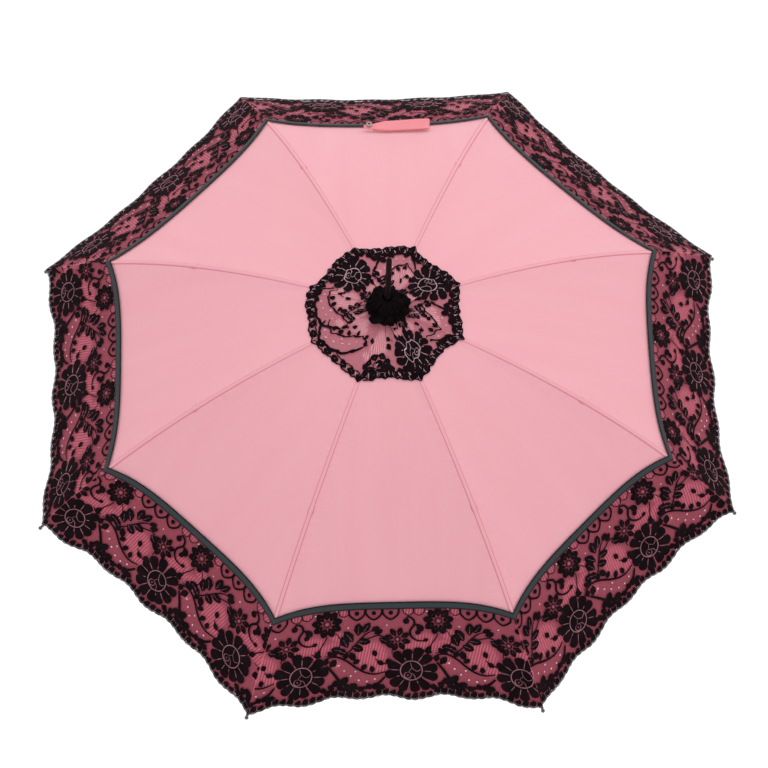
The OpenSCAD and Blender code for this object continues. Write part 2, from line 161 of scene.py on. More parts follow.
# short names for adding shader nodes to one material
class Nodes:

    def __init__(self, paint):
        self.tree = paint.node_tree
        self.shader = self.tree.nodes["Principled BSDF"]
        self.coord = self.tree.nodes.new("ShaderNodeTexCoord")

    def link(self, source, target):
        self.tree.links.new(source, target)

    def noise(self, vector, scale, detail=3.0):
        node = self.tree.nodes.new("ShaderNodeTexNoise")
        node.inputs["Scale"].default_value = scale
        node.inputs["Detail"].default_value = detail
        self.link(vector, node.inputs["Vector"])
        return node.outputs["Fac"]

    def wave(self, vector, scale, direction, distortion=0.0):
        node = self.tree.nodes.new("ShaderNodeTexWave")
        node.bands_direction = direction
        node.inputs["Scale"].default_value = scale
        node.inputs["Distortion"].default_value = distortion
        self.link(vector, node.inputs["Vector"])
        return node.outputs["Fac"]

    def math(self, operation, first, second=0.5):
        node = self.tree.nodes.new("ShaderNodeMath")
        node.operation = operation
        for socket, value in zip(node.inputs, (first, second)):
            if isinstance(value, (int, float)):
                socket.default_value = value
            else:
                self.link(value, socket)
        return node.outputs[0]

    def mapping(self, vector, scale, turn=(0, 0, 0)):
        node = self.tree.nodes.new("ShaderNodeMapping")
        node.inputs["Scale"].default_value = scale
        node.inputs["Rotation"].default_value = turn
        self.link(vector, node.inputs["Vector"])
        return node.outputs["Vector"]

    def ramp(self, factor, low, high, first=0.0, last=1.0):
        node = self.tree.nodes.new("ShaderNodeMapRange")
        node.inputs["From Min"].default_value = low
        node.inputs["From Max"].default_value = high
        node.inputs["To Min"].default_value = first
        node.inputs["To Max"].default_value = last
        self.link(factor, node.inputs["Value"])
        return node.outputs["Result"]

    def mix(self, factor, first, second):
        node = self.tree.nodes.new("ShaderNodeMix")
        node.data_type = "RGBA"
        self.link(factor, node.inputs["Factor"])
        for socket, value in ((node.inputs["A"], first), (node.inputs["B"], second)):
            if isinstance(value, tuple):
                socket.default_value = (*value, 1)
            else:
                self.link(value, socket)
        return node.outputs["Result"]

    def bump(self, height, strength, distance):
        node = self.tree.nodes.new("ShaderNodeBump")
        node.inputs["Strength"].default_value = strength
        node.inputs["Distance"].default_value = distance
        self.link(height, node.inputs["Height"])
        self.link(node.outputs["Normal"], self.shader.inputs["Normal"])


def satinMaterial(name, colour, deep):
    paint = newMaterial(name, colour, 0.5, sheen=0.12, gloss=0.25)
    n = Nodes(paint)
    n.shader.inputs["Sheen Roughness"].default_value = 0.4
    cloth = n.coord.outputs["UV"]
    drift = n.noise(n.mapping(cloth, (3.4, 0.35, 1)), 1.0, 3)
    n.link(n.mix(n.ramp(drift, 0.3, 0.8), colour, deep), n.shader.inputs["Base Color"])
    weft = n.wave(cloth, 95, "Y", 0.6)
    warp = n.wave(cloth, 80, "X", 0.6)
    streaks = n.noise(n.mapping(cloth, (17, 0.8, 1)), 1.0, 2)
    puckers = n.noise(n.mapping(cloth, (3.5, 9, 1)), 1.0, 2)
    nearSeam = n.tree.nodes.new("ShaderNodeAttribute")
    nearSeam.attribute_name = "nearSeam"
    weave = n.math("MULTIPLY", n.math("ADD", weft, warp), 0.1)
    folds = n.math("MULTIPLY", puckers, n.math("MULTIPLY", nearSeam.outputs["Fac"], 8.0))
    height = n.math("ADD", weave, n.math("ADD", streaks, folds))
    n.bump(height, 0.4, 0.0012)
    n.link(n.ramp(streaks, 0.3, 0.7, 0.43, 0.55), n.shader.inputs["Roughness"])
    return paint


# a seam's felled edge: a light ridge between two creases, with painted shade in the creases, across the seam by UV
def seamMaterial(name, colour, crease):
    paint = newMaterial(name, colour, 0.55, sheen=0.1, gloss=0.2)
    n = Nodes(paint)
    split = n.tree.nodes.new("ShaderNodeSeparateXYZ")
    n.link(n.coord.outputs["UV"], split.inputs["Vector"])
    fromMiddle = n.math("ABSOLUTE", n.math("SUBTRACT", split.outputs["X"], 0.5))
    # painted shade: the crease colour darkens a band either side of the ridge's middle
    shade = n.math("MULTIPLY", n.ramp(fromMiddle, 0.2, 0.34), n.ramp(fromMiddle, 0.5, 0.42, 0.35, 1.0))
    n.link(n.mix(shade, colour, crease), n.shader.inputs["Base Color"])
    stitches = n.wave(n.coord.outputs["UV"], 60, "Y", 0.3)
    n.bump(stitches, 0.3, 0.0003)
    return paint


def threadMaterial(name, colour, roughness, gloss=0.1):
    paint = newMaterial(name, colour, roughness, gloss=gloss)
    n = Nodes(paint)
    place = n.coord.outputs["Object"]
    twist = n.noise(place, 900, 2)
    tone = n.noise(place, 60, 2)
    light = tuple(min(1, c * 1.5 + 0.002) for c in colour)
    n.link(n.mix(n.ramp(tone, 0.4, 0.75), colour, light), n.shader.inputs["Base Color"])
    n.bump(twist, 0.5, 0.0004)
    return paint


# fine net: the piece's UV holds repeats of the pattern across and the border's height up
def netMaterial(name, colour, dense, sheer):
    paint = newMaterial(name, colour, 0.9, gloss=0.05)
    n = Nodes(paint)
    lace = n.coord.outputs["UV"]
    split = n.tree.nodes.new("ShaderNodeSeparateXYZ")
    n.link(lace, split.inputs["Vector"])
    windows = None
    for a, b, wide, tall in openWindows:
        turned = n.math("FRACT", n.math("SUBTRACT", split.outputs["X"], a / laceRepeat))
        across = n.math("DIVIDE", n.math("SUBTRACT", turned, 0.5), wide / laceRepeat)
        up = n.math("DIVIDE", n.math("SUBTRACT", split.outputs["Y"], b / laceHeight), tall / laceHeight)
        far = n.math("ADD", n.math("MULTIPLY", across, across), n.math("MULTIPLY", up, up))
        inside = n.ramp(far, 1.25, 0.65)
        windows = inside if windows is None else n.math("MAXIMUM", windows, inside)
    flat = n.mapping(lace, (laceRepeat / 1000, laceHeight / 1000, 1))
    hatch = n.wave(n.mapping(flat, (1, 1, 1), turn=(0, 0, 0.2)), 86, "X", 1.4)
    grain = n.noise(flat, 700, 1)
    cover = n.tree.nodes.new("ShaderNodeMix")
    cover.data_type = "FLOAT"
    n.link(windows, cover.inputs["Factor"])
    cover.inputs["A"].default_value = dense
    n.link(n.ramp(hatch, 0.25, 0.75, sheer - 0.12, sheer + 0.26), cover.inputs["B"])
    speckle = n.math("MULTIPLY", n.math("SUBTRACT", grain, 0.5), 0.42)
    n.link(n.math("ADD", cover.outputs["Result"], speckle), n.shader.inputs["Alpha"])
    n.bump(grain, 0.3, 0.0004)
    return paint


def ribbonMaterial(name, colour, edge):
    paint = newMaterial(name, colour, 0.6, sheen=0.06, gloss=0.15)
    n = Nodes(paint)
    split = n.tree.nodes.new("ShaderNodeSeparateXYZ")
    n.link(n.coord.outputs["UV"], split.inputs["Vector"])
    fromMiddle = n.math("ABSOLUTE", n.math("SUBTRACT", split.outputs["Y"], 0.5))
    selvedge = n.ramp(fromMiddle, 0.26, 0.38)
    n.link(n.mix(selvedge, colour, edge), n.shader.inputs["Base Color"])
    ribs = n.wave(n.coord.outputs["UV"], 52, "X", 0.2)
    n.bump(ribs, 0.35, 0.0003)
    return paint


def metalMaterial(name, colour, roughness):
    paint = newMaterial(name, colour, roughness, metallic=1.0)
    n = Nodes(paint)
    place = n.coord.outputs["Object"]
    grain = n.noise(n.mapping(place, (60, 60, 900)), 3.0, 3)
    n.link(n.ramp(grain, 0.3, 0.7, roughness * 0.8, min(1, roughness * 1.3)), n.shader.inputs["Roughness"])
    worn = tuple(min(1, c * 1.35) for c in colour)
    n.link(n.mix(n.ramp(n.noise(place, 35, 4), 0.45, 0.75), colour, worn), n.shader.inputs["Base Color"])
    n.bump(grain, 0.15, 0.0003)
    return paint


def lacquerMaterial(name, colour, roughness, coat):
    paint = newMaterial(name, colour, roughness, gloss=0.07)
    n = Nodes(paint)
    n.shader.inputs["Coat Weight"].default_value = coat
    n.shader.inputs["Coat Roughness"].default_value = 0.12
    place = n.coord.outputs["Object"]
    orange = n.noise(place, 140, 3)
    smudge = n.noise(place, 22, 5)
    n.link(n.ramp(smudge, 0.35, 0.75, roughness * 0.85, roughness * 1.4), n.shader.inputs["Roughness"])
    lighter = tuple(c * 1.5 + 0.001 for c in colour)
    n.link(n.mix(n.ramp(smudge, 0.4, 0.8), colour, lighter), n.shader.inputs["Base Color"])
    n.bump(orange, 0.06, 0.0006)
    return paint


# the canopy's surface

canopy = {
    "gores": 8,
    "ribCurve": 0.711,      # radius of the arc that an open rib follows
    "startSlope": 4.7,      # degrees below level where the rib leaves the crown
    "jointAt": 0.260,       # arc lengths from the crown along a rib
    "ribbonAt": 0.405,
    "hemAt": 0.532,
    "capAt": 0.090,
    "lift": 0.0032,         # cloth above the rib's centre line
    "sag": 0.0045,          # how far the cloth sinks between two ribs
    "ribbonBow": 0.0174,    # how far the ribbon and the hem curve in at mid gore
    "hemBow": 0.0188,
    "hemShort": 0.010,      # how much shorter the flat satin is than its rib, as its hem curves in
    "satinShort": 0.8,      # mm by which the satin stays inside the lace's edge
    "middleTuck": 0.002,    # how far the satin reaches in past arc length 0
}
foldJoint = "canopy_fold"
laceHeight = 127.0
laceRepeat = 138.0
halfGore = math.pi / canopy["gores"]
crownPlace = joints[foldJoint]["pos_m"]
pivotRadius = math.hypot(crownPlace[0], crownPlace[1])
crownZ = crownPlace[2]
# lighter, hatched places in the net: across and up from a big flower, half width and half height, in mm
openWindows = ((-50, 57, 20, 21), (-38, 38, 13, 7), (17, 72, 17, 16), (42, 68, 13, 11), (2, 66, 12, 9),
               (47, 86, 9, 7), (-3, 119, 7, 7), (10, 119, 7, 7), (55, 117, 7, 7), (-96, 48, 8, 6))


def ribLine(s):
    start = math.radians(canopy["startSlope"])
    slope = start + s / canopy["ribCurve"]
    radius = pivotRadius + canopy["ribCurve"] * (math.sin(slope) - math.sin(start))
    height = crownZ - canopy["ribCurve"] * (math.cos(start) - math.cos(slope))
    return radius, height, slope


def smooth(low, high, value):
    t = min(1, max(0, (value - low) / (high - low)))
    return t * t * (3 - 2 * t)


def goreHalfWidth(s):
    radius, _, slope = ribLine(s)
    return (radius + canopy["lift"] * math.sin(slope)) * math.sin(halfGore)


# how far the cloth lies below the ribs; near the crown it is drawn tight
def sagAt(s, u):
    return canopy["sag"] * (1 - u * u) * smooth(0.02, 0.3, s)


# a point of the cloth: s along the ribs, u from -1 to 1 between two ribs, lift out of the cloth
def clothPoint(gore, s, u, lift=0.0):
    radius, height, slope = ribLine(s)
    out = canopy["lift"] + lift - sagAt(s, u)
    reach = radius + out * math.sin(slope)
    x = reach * math.cos(halfGore)
    y = u * reach * math.sin(halfGore)
    turn = 2 * halfGore * gore
    return (x * math.cos(turn) - y * math.sin(turn), x * math.sin(turn) + y * math.cos(turn),
            height + out * math.cos(slope))


def ribbonLine(u):
    return canopy["ribbonAt"] - canopy["ribbonBow"] * (1 - abs(u) ** 4)


def hemLine(u):
    return canopy["hemAt"] - canopy["hemBow"] * (1 - abs(u) ** 2.6)


# the scalloped hem, in mm: two waves to a repeat of the lace, every second one deeper, with small teeth on them
hem = {"wave": 3.2, "lag": 0.36, "second": 1.6, "out": 2.0, "tooth": 1.3, "toothWidth": 9.2}


# how far the hem stands beyond the hem line, in mm, at a along the border
def hemWave(a):
    turn = 2 * math.pi * a / laceRepeat
    return hem["wave"] * math.cos(2 * turn - hem["lag"]) + hem["second"] * math.cos(turn) + hem["out"]


def hemEdge(a):
    return hemWave(a) + hem["tooth"] * abs(math.sin(math.pi * a / hem["toothWidth"]))


# where the lace's repeat falls, in mm: at firstAt on firstGore, and further on at each rib; cutOn shifts single gores
pattern = {"firstGore": 6, "firstAt": 21, "cutOn": {4: -42, 5: 24, 7: -20}}


def patternStart(gore):
    top, low = goreHalfWidth(canopy["ribbonAt"]) / mm, goreHalfWidth(canopy["hemAt"]) / mm
    start = (gore - pattern["firstGore"]) * (low + top) + pattern["firstAt"] + pattern["cutOn"].get(gore, 0)
    return start % laceRepeat


def meshPiece(name, points, faces, materials, uvs=None, marks=None):
    mesh = bpy.data.meshes.new(name)
    mesh.from_pydata(points, [], faces)
    for paint in materials:
        mesh.materials.append(paint)
    if marks:
        mesh.polygons.foreach_set("material_index", marks)
    if uvs:
        layer = mesh.uv_layers.new(name="cloth")
        for loop in mesh.loops:
            layer.data[loop.index].uv = uvs[loop.vertex_index]
    mesh.polygons.foreach_set("use_smooth", [True] * len(mesh.polygons))
    mesh.update()
    piece = bpy.data.objects.new(name, mesh)
    bpy.context.scene.collection.objects.link(piece)
    return piece


def gridFaces(columns, rows, flip=False):
    faces = []
    for i in range(columns - 1):
        for j in range(rows - 1):
            a = i * rows + j
            face = (a, a + 1, a + rows + 1, a + rows)
            faces.append(face[::-1] if flip else face)
    return faces


def foldWith(piece, body):
    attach(piece, body)
    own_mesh(piece)


def makePanel(name, gore, fromLine, toLine, rows, paints, columns):
    points, uvs, near, marks = [], [], [], []
    change = rows // 2 if len(paints) > 1 else rows - 1     # the row that lies on the ribbon's line
    for i in range(columns):
        u = -1 + 2 * i / (columns - 1)
        turn = ribbonLine(u) if len(paints) > 1 else toLine(u)
        for j in range(rows):
            if j <= change:
                s = fromLine(u) + (turn - fromLine(u)) * j / change
            else:
                s = turn + (toLine(u) - turn) * (j - change) / (rows - 1 - change)
            points.append(clothPoint(gore, s, u))
            uvs.append((u * goreHalfWidth(s) * 10 + gore * 3.7, s * 10))
            near.append(smooth(0.72, 1.0, abs(u)))
            # faces from the ribbon's row down take the second paint: satin with painted shade under the lace
            marks.append(1 if len(paints) > 1 and j >= change else 0)
    faces = gridFaces(columns, rows)
    piece = meshPiece(name, points, faces, paints, uvs, marks=[marks[face[0]] for face in faces])
    piece.data.attributes.new("nearSeam", "FLOAT", "POINT").data.foreach_set("value", near)
    return piece


def makePinkPanels():
    joint = canopy["jointAt"]
    for gore in range(1, canopy["gores"] + 1):
        inner = makePanel(f"satin_inner_{gore}", gore, lambda u: -canopy["middleTuck"], lambda u: joint, 33, [satin],
                          49)
        foldWith(inner, f"gore_inner_{gore}")
        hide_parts(f"gore_inner_{gore}")
        start = patternStart(gore)
        half = goreHalfWidth(canopy["hemAt"]) / mm
        outer = makePanel(f"satin_outer_{gore}", gore, lambda u: joint,
                          lambda u: hemLine(u) + (hemWave(u * half - start) - canopy["satinShort"]) * mm, 40,
                          [satin, laceShadeSatin], 97)
        foldWith(outer, f"gore_outer_{gore}")
        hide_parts(f"gore_outer_{gore}")


# seams over the ribs

seam = {
    "width": 0.0072,
    "height": 0.0013,
    "tieWidth": 0.0035,
    "tieHeight": 0.0014,
    "tieWider": 0.25,       # share by which the thread tie widens the seam
    "fade": 0.004,          # length over which the ridge ends at the ribbon
    "overlap": 0.004,       # of the outer seam over the inner one at the rib's joint
    "sunk": 0.0004,         # depth of the ridge's edges in the satin
    "lean": 0.75,           # share of the satin's fall away from the rib that the ridge follows
    "allowance": 0.019,     # cloth turned under along a rib, which closes the gap when folded
    "mostOfGore": 0.9,      # the largest share of a half gore that is turned under
    "under": 0.0011,
    "start": 0.004,         # arc lengths from the crown, and how far short of the hem's end
    "endShort": 0.002,
    "across": 9,            # points across the ridge and the turned cloth, and along both
    "acrossUnder": 11,
    "rows": 90,
}


def seamPoint(rib, s, side, rise):
    radius, height, slope = ribLine(s)
    out = canopy["lift"] + rise
    x = radius + out * math.sin(slope)
    y = side
    turn = halfGore + 2 * halfGore * (rib - 1)
    return (x * math.cos(turn) - y * math.sin(turn), x * math.sin(turn) + y * math.cos(turn),
            height + out * math.cos(slope))


def makeSeam(name, rib, low, high):
    across, turned, rows = seam["across"], seam["acrossUnder"], seam["rows"]
    points, uvs = [], []
    for i in range(across):
        v = -1 + 2 * i / (across - 1)
        for j in range(rows):
            s = low + (high - low) * j / (rows - 1)
            tie = math.exp(-((s - canopy["jointAt"]) / seam["tieWidth"]) ** 2)
            side = v * seam["width"] / 2 * (1 + seam["tieWider"] * tie)
            top = seam["height"] + seam["tieHeight"] * tie
            top *= 1 - smooth(canopy["ribbonAt"], canopy["ribbonAt"] + seam["fade"], s)
            rise = top * (1 - v * v) ** 0.6 - seam["sunk"] - abs(side) * math.tan(halfGore) * seam["lean"]
            points.append(seamPoint(rib, s, side, rise))
            uvs.append((0.5 + v / 2, s * 10))
    faces = gridFaces(across, rows)
    marks = [0] * len(faces)
    first = len(points)
    # the cloth turned under follows the satin of the gores on both sides
    for i in range(turned):
        v = -1 + 2 * i / (turned - 1)
        for j in range(rows):
            s = low + (high - low) * j / (rows - 1)
            half = goreHalfWidth(s)
            side = v * min(seam["allowance"] / 2, seam["mostOfGore"] * half)
            u = 1 - abs(side) / half
            drop = abs(side) * math.tan(halfGore) * math.sin(ribLine(s)[2])
            drop += sagAt(s, u)
            points.append(seamPoint(rib, s, side, -seam["under"] - drop))
            uvs.append((0.5, s * 10 + v))
    for a, b, c, d in gridFaces(turned, rows):
        faces.append((first + a, first + b, first + c, first + d))
        s = low + (high - low) * (a % rows) / (rows - 1)
        marks.append(1 if s > canopy["ribbonAt"] else 0)
    return meshPiece(name, points, faces, [seamSatin, seamTape], uvs, marks=marks)


def makeSeams():
    joint = canopy["jointAt"]
    for rib in range(1, canopy["gores"] + 1):
        inner = makeSeam(f"seam_inner_{rib}", rib, seam["start"], joint)
        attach(inner, f"rib_inner_{rib}")
        outer = makeSeam(f"seam_outer_{rib}", rib, joint - seam["overlap"], canopy["hemAt"] - seam["endShort"])
        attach(outer, f"rib_outer_{rib}")


# lace

# collects raised threadwork in the flat, as a across, b up and h out, all in mm
class Lace:

    def __init__(self):
        self.faces = []      # each a list of (a, b, h) with its material mark

    def add(self, corners, mark=0):
        self.faces.append((corners, mark))

    def blob(self, outline, rise=0.7, mark=0):
        ca = sum(p[0] for p in outline) / len(outline)
        cb = sum(p[1] for p in outline) / len(outline)
        for p, q in zip(outline, outline[1:] + outline[:1]):
            self.add([(ca, cb, rise), (p[0], p[1], 0.15), (q[0], q[1], 0.15)], mark)

    # a petal or leaf that starts at a, b and points along angle; tip says where it is widest
    def petal(self, a, b, angle, length, width, tip=0.62, rise=0.8, sides=9):
        outline = []
        for k in range(sides):
            t = 2 * math.pi * k / sides
            along = length * (0.5 - 0.5 * math.cos(t))
            share = along / length
            half = width / 2 * math.sin(t) * (0.45 + 0.9 * math.exp(-((share - tip) / 0.38) ** 2))
            outline.append((a + along * math.cos(angle) - half * math.sin(angle),
                            b + along * math.sin(angle) + half * math.cos(angle)))
        self.blob(outline, rise)

    # a broad petal from one radius to another around a, b, blunt at both ends
    def wedge(self, a, b, angle, inner, outer, narrow, wide, rise=0.8):
        long = outer - inner
        half = ((0, 0.55), (0.08, 0.95), (0.45, 1.0), (0.8, 0.92), (0.95, 0.55))
        sides = [(inner + long * t, (narrow + (wide - narrow) * min(1, t * 1.35)) / 2 * w) for t, w in half]
        line = sides + [(outer, 0)] + [(r, -w) for r, w in sides[::-1]]
        self.blob([(a + r * math.cos(angle) - w * math.sin(angle), b + (r * math.sin(angle) + w * math.cos(angle)))
                   for r, w in line], rise)

    def disc(self, a, b, radius, rise=0.7, sides=8, mark=0):
        ring = [(a + radius * math.cos(2 * math.pi * k / sides), b + radius * math.sin(2 * math.pi * k / sides))
                for k in range(sides)]
        self.blob(ring, rise, mark)

    # a cord along a smooth path through the given points, thinner at its ends
    def stroke(self, path, width, taper=0.35, rise=0.6, mark=0):
        fine = curveThrough(path, 5)
        rails = []
        last = len(fine) - 1
        for k, (a, b) in enumerate(fine):
            p, q = fine[max(0, k - 1)], fine[min(last, k + 1)]
            da, db = q[0] - p[0], q[1] - p[1]
            size = math.hypot(da, db) or 1
            t = k / last
            half = width / 2 * (taper + (1 - taper) * math.sin(math.pi * min(1, max(0, t * 0.94 + 0.03))) ** 0.5)
            rails.append(((a - db / size * half, b + da / size * half, 0.12), (a, b, rise),
                          (a + db / size * half, b - da / size * half, 0.12)))
        for r, s in zip(rails, rails[1:]):
            self.add([r[1], r[0], s[0], s[1]], mark)
            self.add([r[2], r[1], s[1], s[2]], mark)

    def ring(self, a, b, radius, width, mark=0):
        turns = 12
        path = [(a + radius * math.cos(2 * math.pi * k / turns), b + radius * math.sin(2 * math.pi * k / turns))
                for k in range(turns + 1)]
        self.stroke(path, width, taper=1.0, mark=mark)


# a smooth curve's points through a short list
def curveThrough(path, steps):
    points = [path[0]] + list(path) + [path[-1]]
    fine = []
    for p0, p1, p2, p3 in zip(points, points[1:], points[2:], points[3:]):
        for k in range(steps):
            t = k / steps
            fine.append(tuple(0.5 * (2 * q1 + (q2 - q0) * t + (2 * q0 - 5 * q1 + 4 * q2 - q3) * t * t
                                     + (3 * q1 - q0 - 3 * q2 + q3) * t ** 3)
                              for q0, q1, q2, q3 in zip(p0, p1, p2, p3)))
    fine.append(tuple(path[-1]))
    return fine


# keeps the part of a face where p*a + q*b <= r for each cut
def clipFace(corners, cuts):
    for p, q, r in cuts:
        kept = []
        for first, second in zip(corners, corners[1:] + corners[:1]):
            d0 = p * first[0] + q * first[1] - r
            d1 = p * second[0] + q * second[1] - r
            if d0 <= 0:
                kept.append(first)
            if (d0 < 0 < d1) or (d1 < 0 < d0):
                t = d0 / (d0 - d1)
                kept.append(tuple(x + (y - x) * t for x, y in zip(first, second)))
        corners = kept
        if len(corners) < 3:
            return []
    return corners


# which of a piece's threads a face is made of; 0 is the black thread
silverMark, lightMark, edgeMark = 1, 2, 3
# each leaf as a, b, angle, length and width, in mm and radians
leaves = {
    "spray": ((-80, 62, 2.7, 13, 7), (-85, 66, 2.9, 14, 7), (-79, 70, 2.0, 16, 8), (-72, 78, 2.2, 17, 8.5),
              (-66, 86, 1.5, 16, 8), (-60, 90, 1.0, 15, 6.5), (-74, 72, -0.4, 14, 7.5), (-67, 79, -0.1, 15, 7),
              (-50, 92, 0.5, 11, 5), (-76, 64, -1.2, 12, 6.5)),
    "bow": ((-46, 88, 0.5, 11, 5.5), (-40, 82, -0.5, 13, 7), (-31, 78, -0.9, 12, 6), (-44, 56, 1.9, 9, 5),
            (-43, 50, -0.6, 9, 5), (-33, 48, 0.3, 8, 5)),
    "stem": ((-98, 59, 2.2, 9, 5), (-84, 54, 1.1, 9, 5), (-63, 37, 0.9, 10, 5), (-49, 33, 1.6, 9, 5),
             (-104, 57, -2.0, 9, 5), (-112, 60, 2.6, 9, 5.5), (-73, 47, 0.6, 9, 5)),
    "foot": ((37, 18, 0.3, 12, 7), (43, 11, -0.4, 13, 7), (50, 18, 0.9, 12, 7), (36, 44, 0.9, 12, 6.6),
             (-37, 12, 2.9, 12, 7), (30, 6, 0.1, 12, 6.6), (58, 12, 0.4, 12, 6.5)),
    "tendril": ((25, 70, -2.2, 11, 5), (46, 66, -2.4, 11, 5)),
}


def bigFlower(lace, a, b, seed):
    petals = 12
    draw = random.Random(seed)
    for k in range(petals):
        angle = 2 * math.pi * (k + 0.3) / petals + draw.uniform(-0.05, 0.05)
        lace.wedge(a, b, angle, 14.0, 33 + draw.uniform(-2.4, 2.4), 7.2, 14.4 + draw.uniform(-1.4, 1.0))
        gap = angle + math.pi / petals
        reach = 25 if k % 3 else 19
        lace.stroke([(a + r * math.cos(gap), b + r * math.sin(gap)) for r in (16.5, 20, reach)], 1.0, rise=1.05,
                    mark=lightMark)
    lace.disc(a, b, 13.2, sides=14)
    lace.ring(a, b, 13.8, 1.2, mark=lightMark)
    lace.stroke([(a - 1, b + 12), (a + 1, b + 4), (a + 7, b - 1), (a + 12, b + 2)], 1.0, rise=1.1, mark=lightMark)
    lace.stroke([(a + 1, b + 4), (a - 3, b - 2), (a + 3, b - 6), (a + 5, b - 12)], 1.0, rise=1.1, mark=lightMark)
    lace.ring(a - 4.5, b - 6.5, 4.4, 1.1, mark=lightMark)
    lace.disc(a - 4.5, b - 6.5, 1.1, rise=1.3, sides=6, mark=lightMark)


def smallFlower(lace, a, b, petals, inner, outer, wide, turn=0.2):
    for k in range(petals):
        angle = turn + 2 * math.pi * k / petals
        lace.petal(a + inner * math.cos(angle), b + inner * math.sin(angle), angle, outer - inner, wide, sides=8)
        middle = (inner * 0.6 + outer * 0.4)
        lace.disc(a + middle * math.cos(angle), b + middle * math.sin(angle), 0.8, rise=0.95, sides=6, mark=lightMark)
    lace.ring(a, b, inner * 0.75, 1.4)
    lace.disc(a, b, inner * 0.3, rise=0.9, sides=6, mark=lightMark)


# leaves in a row with a light vein along the longer ones
def leafGroup(lace, at, group):
    for a, b, angle, long, wide in leaves[group]:
        lace.petal(at + a, b, angle, long * 1.12, wide * 1.18, tip=0.55)
        if long > 12:
            vein = [(at + a + long * t * math.cos(angle), b + long * t * math.sin(angle)) for t in (0.15, 0.5, 0.8)]
            lace.stroke(vein, 0.8, rise=1.0, mark=lightMark)


def crescent(lace, at):
    lace.stroke([(at + a, b) for a, b in ((-112, 52), (-103, 58), (-92, 58), (-80, 51), (-70, 42), (-58, 34),
                                          (-46, 31), (-33, 34))], 2.8)
    lace.stroke([(at + a, b) for a, b in ((-106, 47), (-98, 36), (-88, 21), (-76, 14), (-63, 11), (-51, 13),
                                          (-41, 18), (-33, 27))], 4.4)
    leafGroup(lace, at, "stem")
    for a, b in ((-84, 38), (-76, 30), (-66, 23), (-56, 21), (-46, 24), (-70, 36), (-91, 46)):
        lace.disc(at + a, b, 1.3, rise=0.5, sides=6, mark=silverMark)


# one repeat of the pattern; its big flower stands at a = at
def laceCell(lace, at, seed):
    def shift(points):
        return [(at + a, b) for a, b in points]

    bigFlower(lace, at, 35, seed)
    # daisy under the ribbon, with a looser one beside it
    smallFlower(lace, at + 34, 105, 9, 5.5, 19.5, 8.4)
    smallFlower(lace, at - 17, 80, 8, 4.5, 17, 6.4, turn=0.5)
    # scroll with a thick head
    lace.stroke(shift([(-7, 107), (-3, 111), (3, 107), (4, 100), (-1, 92), (0, 84), (7, 78), (15, 77)]), 3.0)
    lace.disc(at - 6, 105, 4.2)
    lace.petal(at + 14, 77, 0.3, 8, 4.5)
    lace.stroke(shift([(4, 101), (10, 97), (12, 91)]), 3.0)
    lace.petal(at + 7, 101, -0.9, 13, 7.5)
    lace.petal(at + 12, 94, -2.2, 10, 6)
    # leaf spray and the bow of leaves beside it
    lace.stroke(shift([(-86, 58), (-76, 66), (-66, 78), (-58, 87), (-50, 92)]), 2.0)
    lace.stroke(shift([(-62, 79), (-50, 83), (-40, 86), (-30, 80), (-24, 70), (-24, 60)]), 1.7)
    lace.stroke(shift([(-45, 53), (-38, 47), (-30, 46), (-26, 52)]), 1.8)
    for group in ("spray", "bow", "foot", "tendril"):
        leafGroup(lace, at, group)
    crescent(lace, at)
    # dense leaves along the hem
    for k in range(15):
        a = -69 + laceRepeat * k / 15
        low = 5.4 - hemEdge(a)
        lace.petal(at + a - 4, low, 0.35 * math.sin(2.4 * k), 10.5, 8.2, tip=0.5)
        if a < -30 or a > 30:
            lace.petal(at + a, low + 6.5, 2.6 + 0.5 * math.cos(1.7 * k), 10, 6.8, tip=0.5)
        lace.stroke([(at + a + 3.2, low - 3), (at + a + 4.6, low + 1), (at + a + 4.2, low + 4)], 0.8, rise=1.0,
                    mark=lightMark)
    lace.stroke([(at + a, 1.4 - hemEdge(a)) for a in range(-69, 72, 3)], 2.4, taper=1.0)
    # hearts and arches under the ribbon
    for a in (-67, -46, -25):
        lace.stroke(shift([(a - 10, 123), (a - 9, 115), (a, 108), (a + 9, 115), (a + 10, 123)]), 2.5, taper=0.9)
        lace.disc(at + a, 117, 3.0)
    for a in (-3, 10, 55):
        lace.stroke(shift([(a - 7, 125), (a - 6, 117), (a, 113), (a + 6, 117), (a + 7, 125)]), 1.3, taper=0.8)
    # fine tendrils and fill
    lace.stroke(shift([(34, 88), (30, 80), (24, 70), (20, 60), (14, 66)]), 1.6)
    lace.stroke(shift([(44, 92), (50, 82), (48, 70), (40, 62), (30, 60)]), 1.4)
    for a, b in ((-30, 100), (-78, 98), (46, 122), (20, 118)):
        lace.disc(at + a, b, 1.1, rise=0.5, sides=6, mark=silverMark)


# a point of the border, a from mid gore and b above the hem line, put on the cloth
def bandToCloth(gore, a, b, h):
    s = canopy["hemAt"] - b * mm
    u = 0.0
    for _ in range(3):
        u = a * mm / goreHalfWidth(s)
        top, low = ribbonLine(min(1, abs(u))), hemLine(min(1, abs(u)))
        s = low - b / laceHeight * (low - top)
    return clothPoint(gore, s, max(-1.02, min(1.02, u)), (1.5 + h) * mm)


def facesToMesh(lace, toPlace, cuts):
    points, faces, marks, seen = [], [], [], {}
    for corners, mark in lace.faces:
        kept = clipFace(corners, cuts)
        face = []
        for corner in kept:
            key = tuple(round(x, 3) for x in corner)
            if key not in seen:
                seen[key] = len(points)
                points.append(toPlace(*corner))
            if seen[key] not in face:
                face.append(seen[key])
        if len(face) > 2:
            faces.append(face)
            marks.append(mark)
    return points, faces, marks


